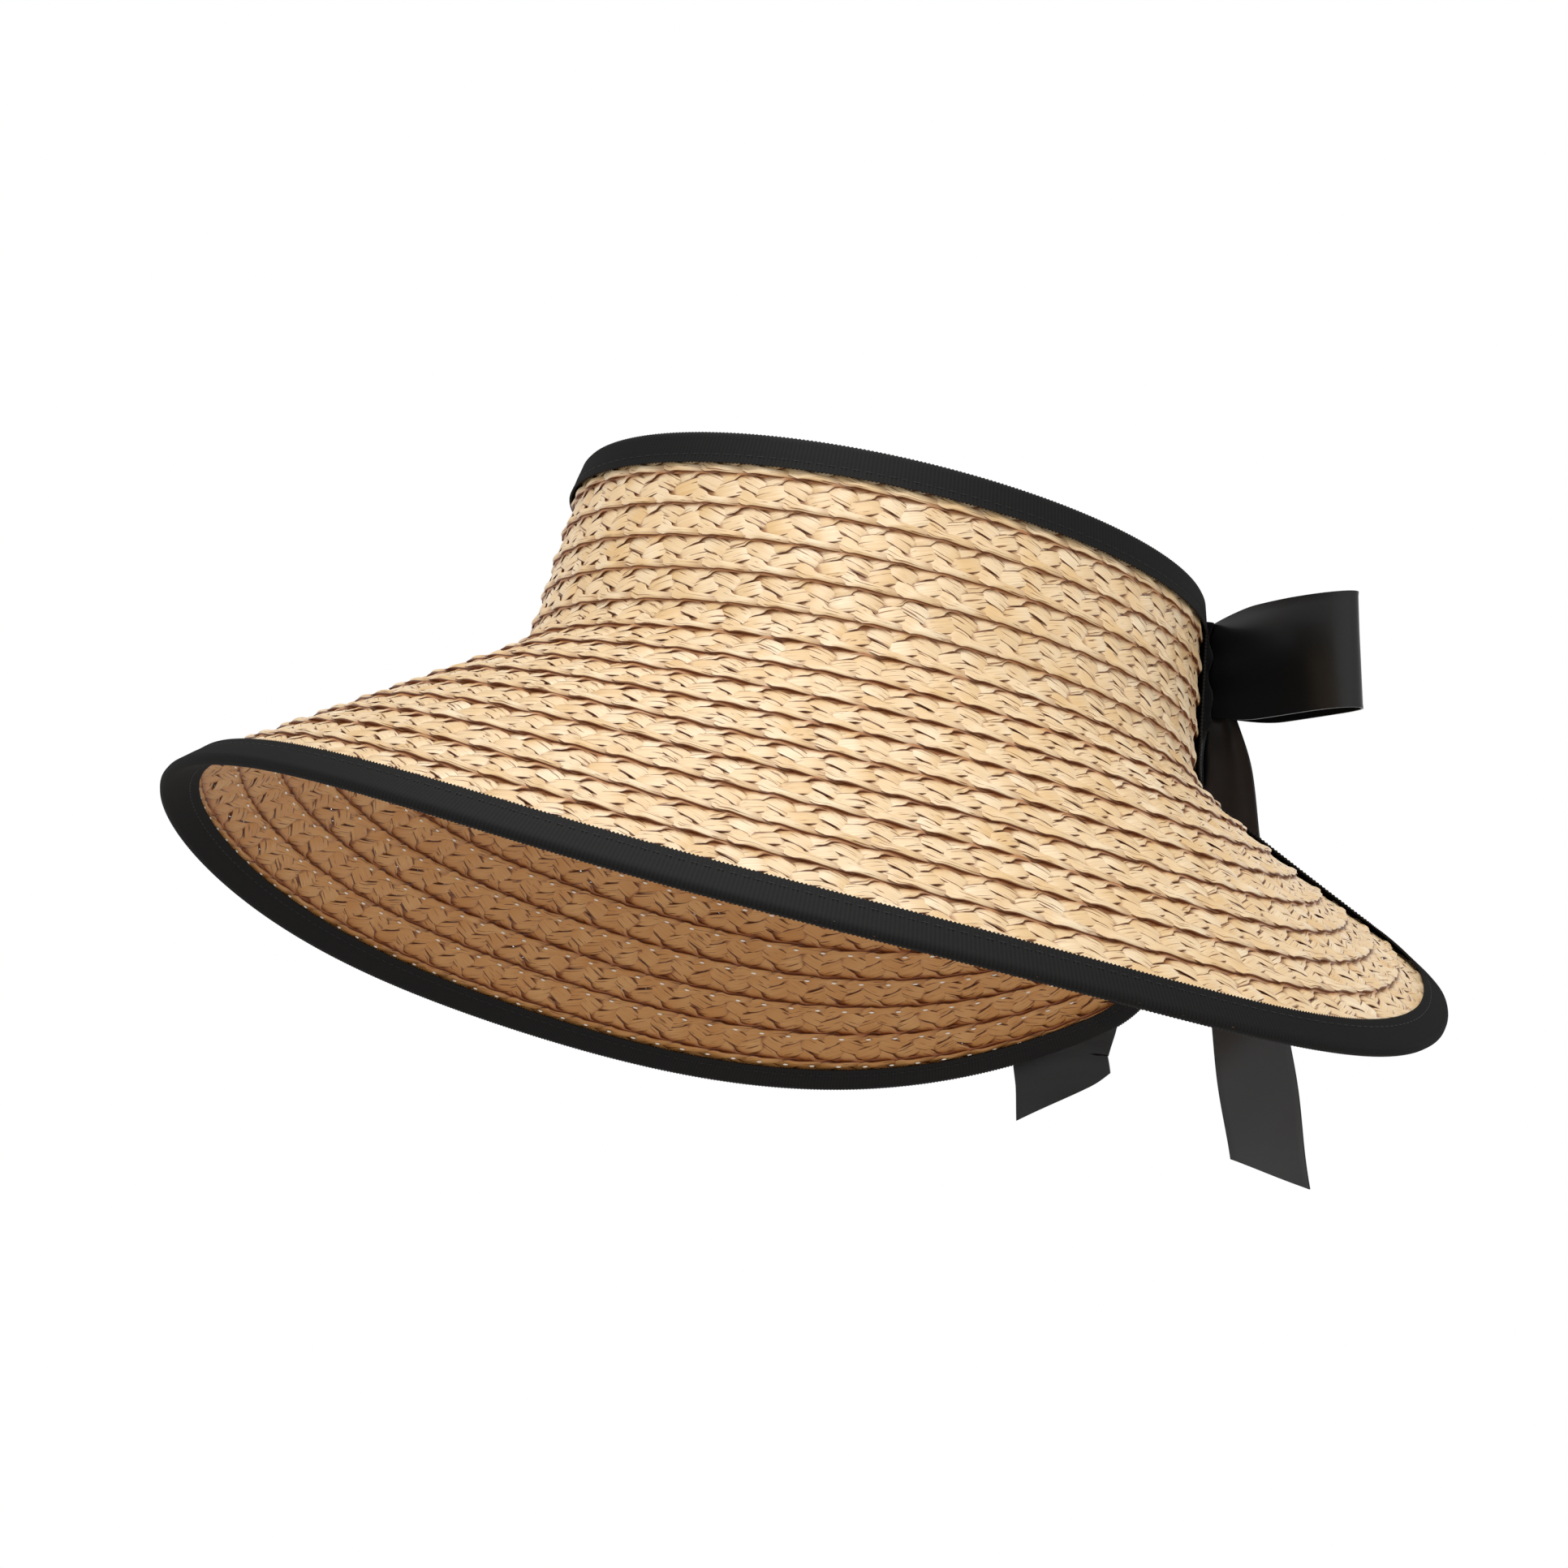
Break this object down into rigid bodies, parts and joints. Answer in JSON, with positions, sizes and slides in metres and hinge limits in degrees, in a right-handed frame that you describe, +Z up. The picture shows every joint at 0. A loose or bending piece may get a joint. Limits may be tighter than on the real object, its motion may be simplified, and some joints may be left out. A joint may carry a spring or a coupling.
{
  "type": "straw sun visor",
  "caption": "Open-crown straw sun visor of sewn flat braid rows, taped edges and an open back closed by a ribbon bow.",
  "frame": {"origin": "centre of the head opening, where the crown meets the brim", "axes": "+Z up as worn, -Y towards the front of the brim, +X towards the wearer's left; the visor is tilted back 12 degrees about X"},
  "size_m": [0.3536, 0.341, 0.2069],
  "materials": {
    "raffia": "satin",
    "grosgrain": "matte",
    "sweatband": "matte",
    "satin": "satin"
  },
  "bodies": {
    "visor": {"crown_row_1": "raffia", "crown_row_2": "raffia", "crown_row_3": "raffia", "crown_row_4": "raffia", "crown_row_5": "raffia", "crown_row_6": "raffia", "brim_row_1": "raffia", "brim_row_2": "raffia", "brim_row_3": "raffia", "brim_row_4": "raffia", "brim_row_5": "raffia", "brim_row_6": "raffia", "brim_row_7": "raffia", "brim_row_8": "raffia", "brim_row_9": "raffia", "brim_row_10": "raffia", "crown_binding": "grosgrain", "brim_binding": "grosgrain", "sweatband": "sweatband", "ribbon_tie_left": "satin", "ribbon_tie_right": "satin", "bow_knot": "satin"},
    "loop_left": {"bow_loop_left": "satin"},
    "loop_right": {"bow_loop_right": "satin"},
    "tail_left": {"ribbon_tail_left": "satin"},
    "tail_right": {"ribbon_tail_right": "satin"}
  },
  "joints": [
    {"name": "left_loop_flex", "type": "hinge", "parent": "visor", "child": "loop_left", "pos_m": [0.0101, 0.1134, 0.024], "axis": [0, 0, 1], "range_deg": [-10, 45], "stiffness_Nm_per_rad": 0.02},
    {"name": "right_loop_flex", "type": "hinge", "parent": "visor", "child": "loop_right", "pos_m": [-0.0101, 0.1134, 0.024], "axis": [0, 0, -1], "range_deg": [-10, 45], "stiffness_Nm_per_rad": 0.02},
    {"name": "left_tail_swing", "type": "hinge", "parent": "visor", "child": "tail_left", "pos_m": [0.006, 0.1134, 0.0065], "axis": [0.9903, 0.1392, 0], "range_deg": [-15, 60]},
    {"name": "right_tail_swing", "type": "hinge", "parent": "visor", "child": "tail_right", "pos_m": [-0.014, 0.1134, -0.0062], "axis": [1, 0, 0], "range_deg": [0, 50]}
  ]
}
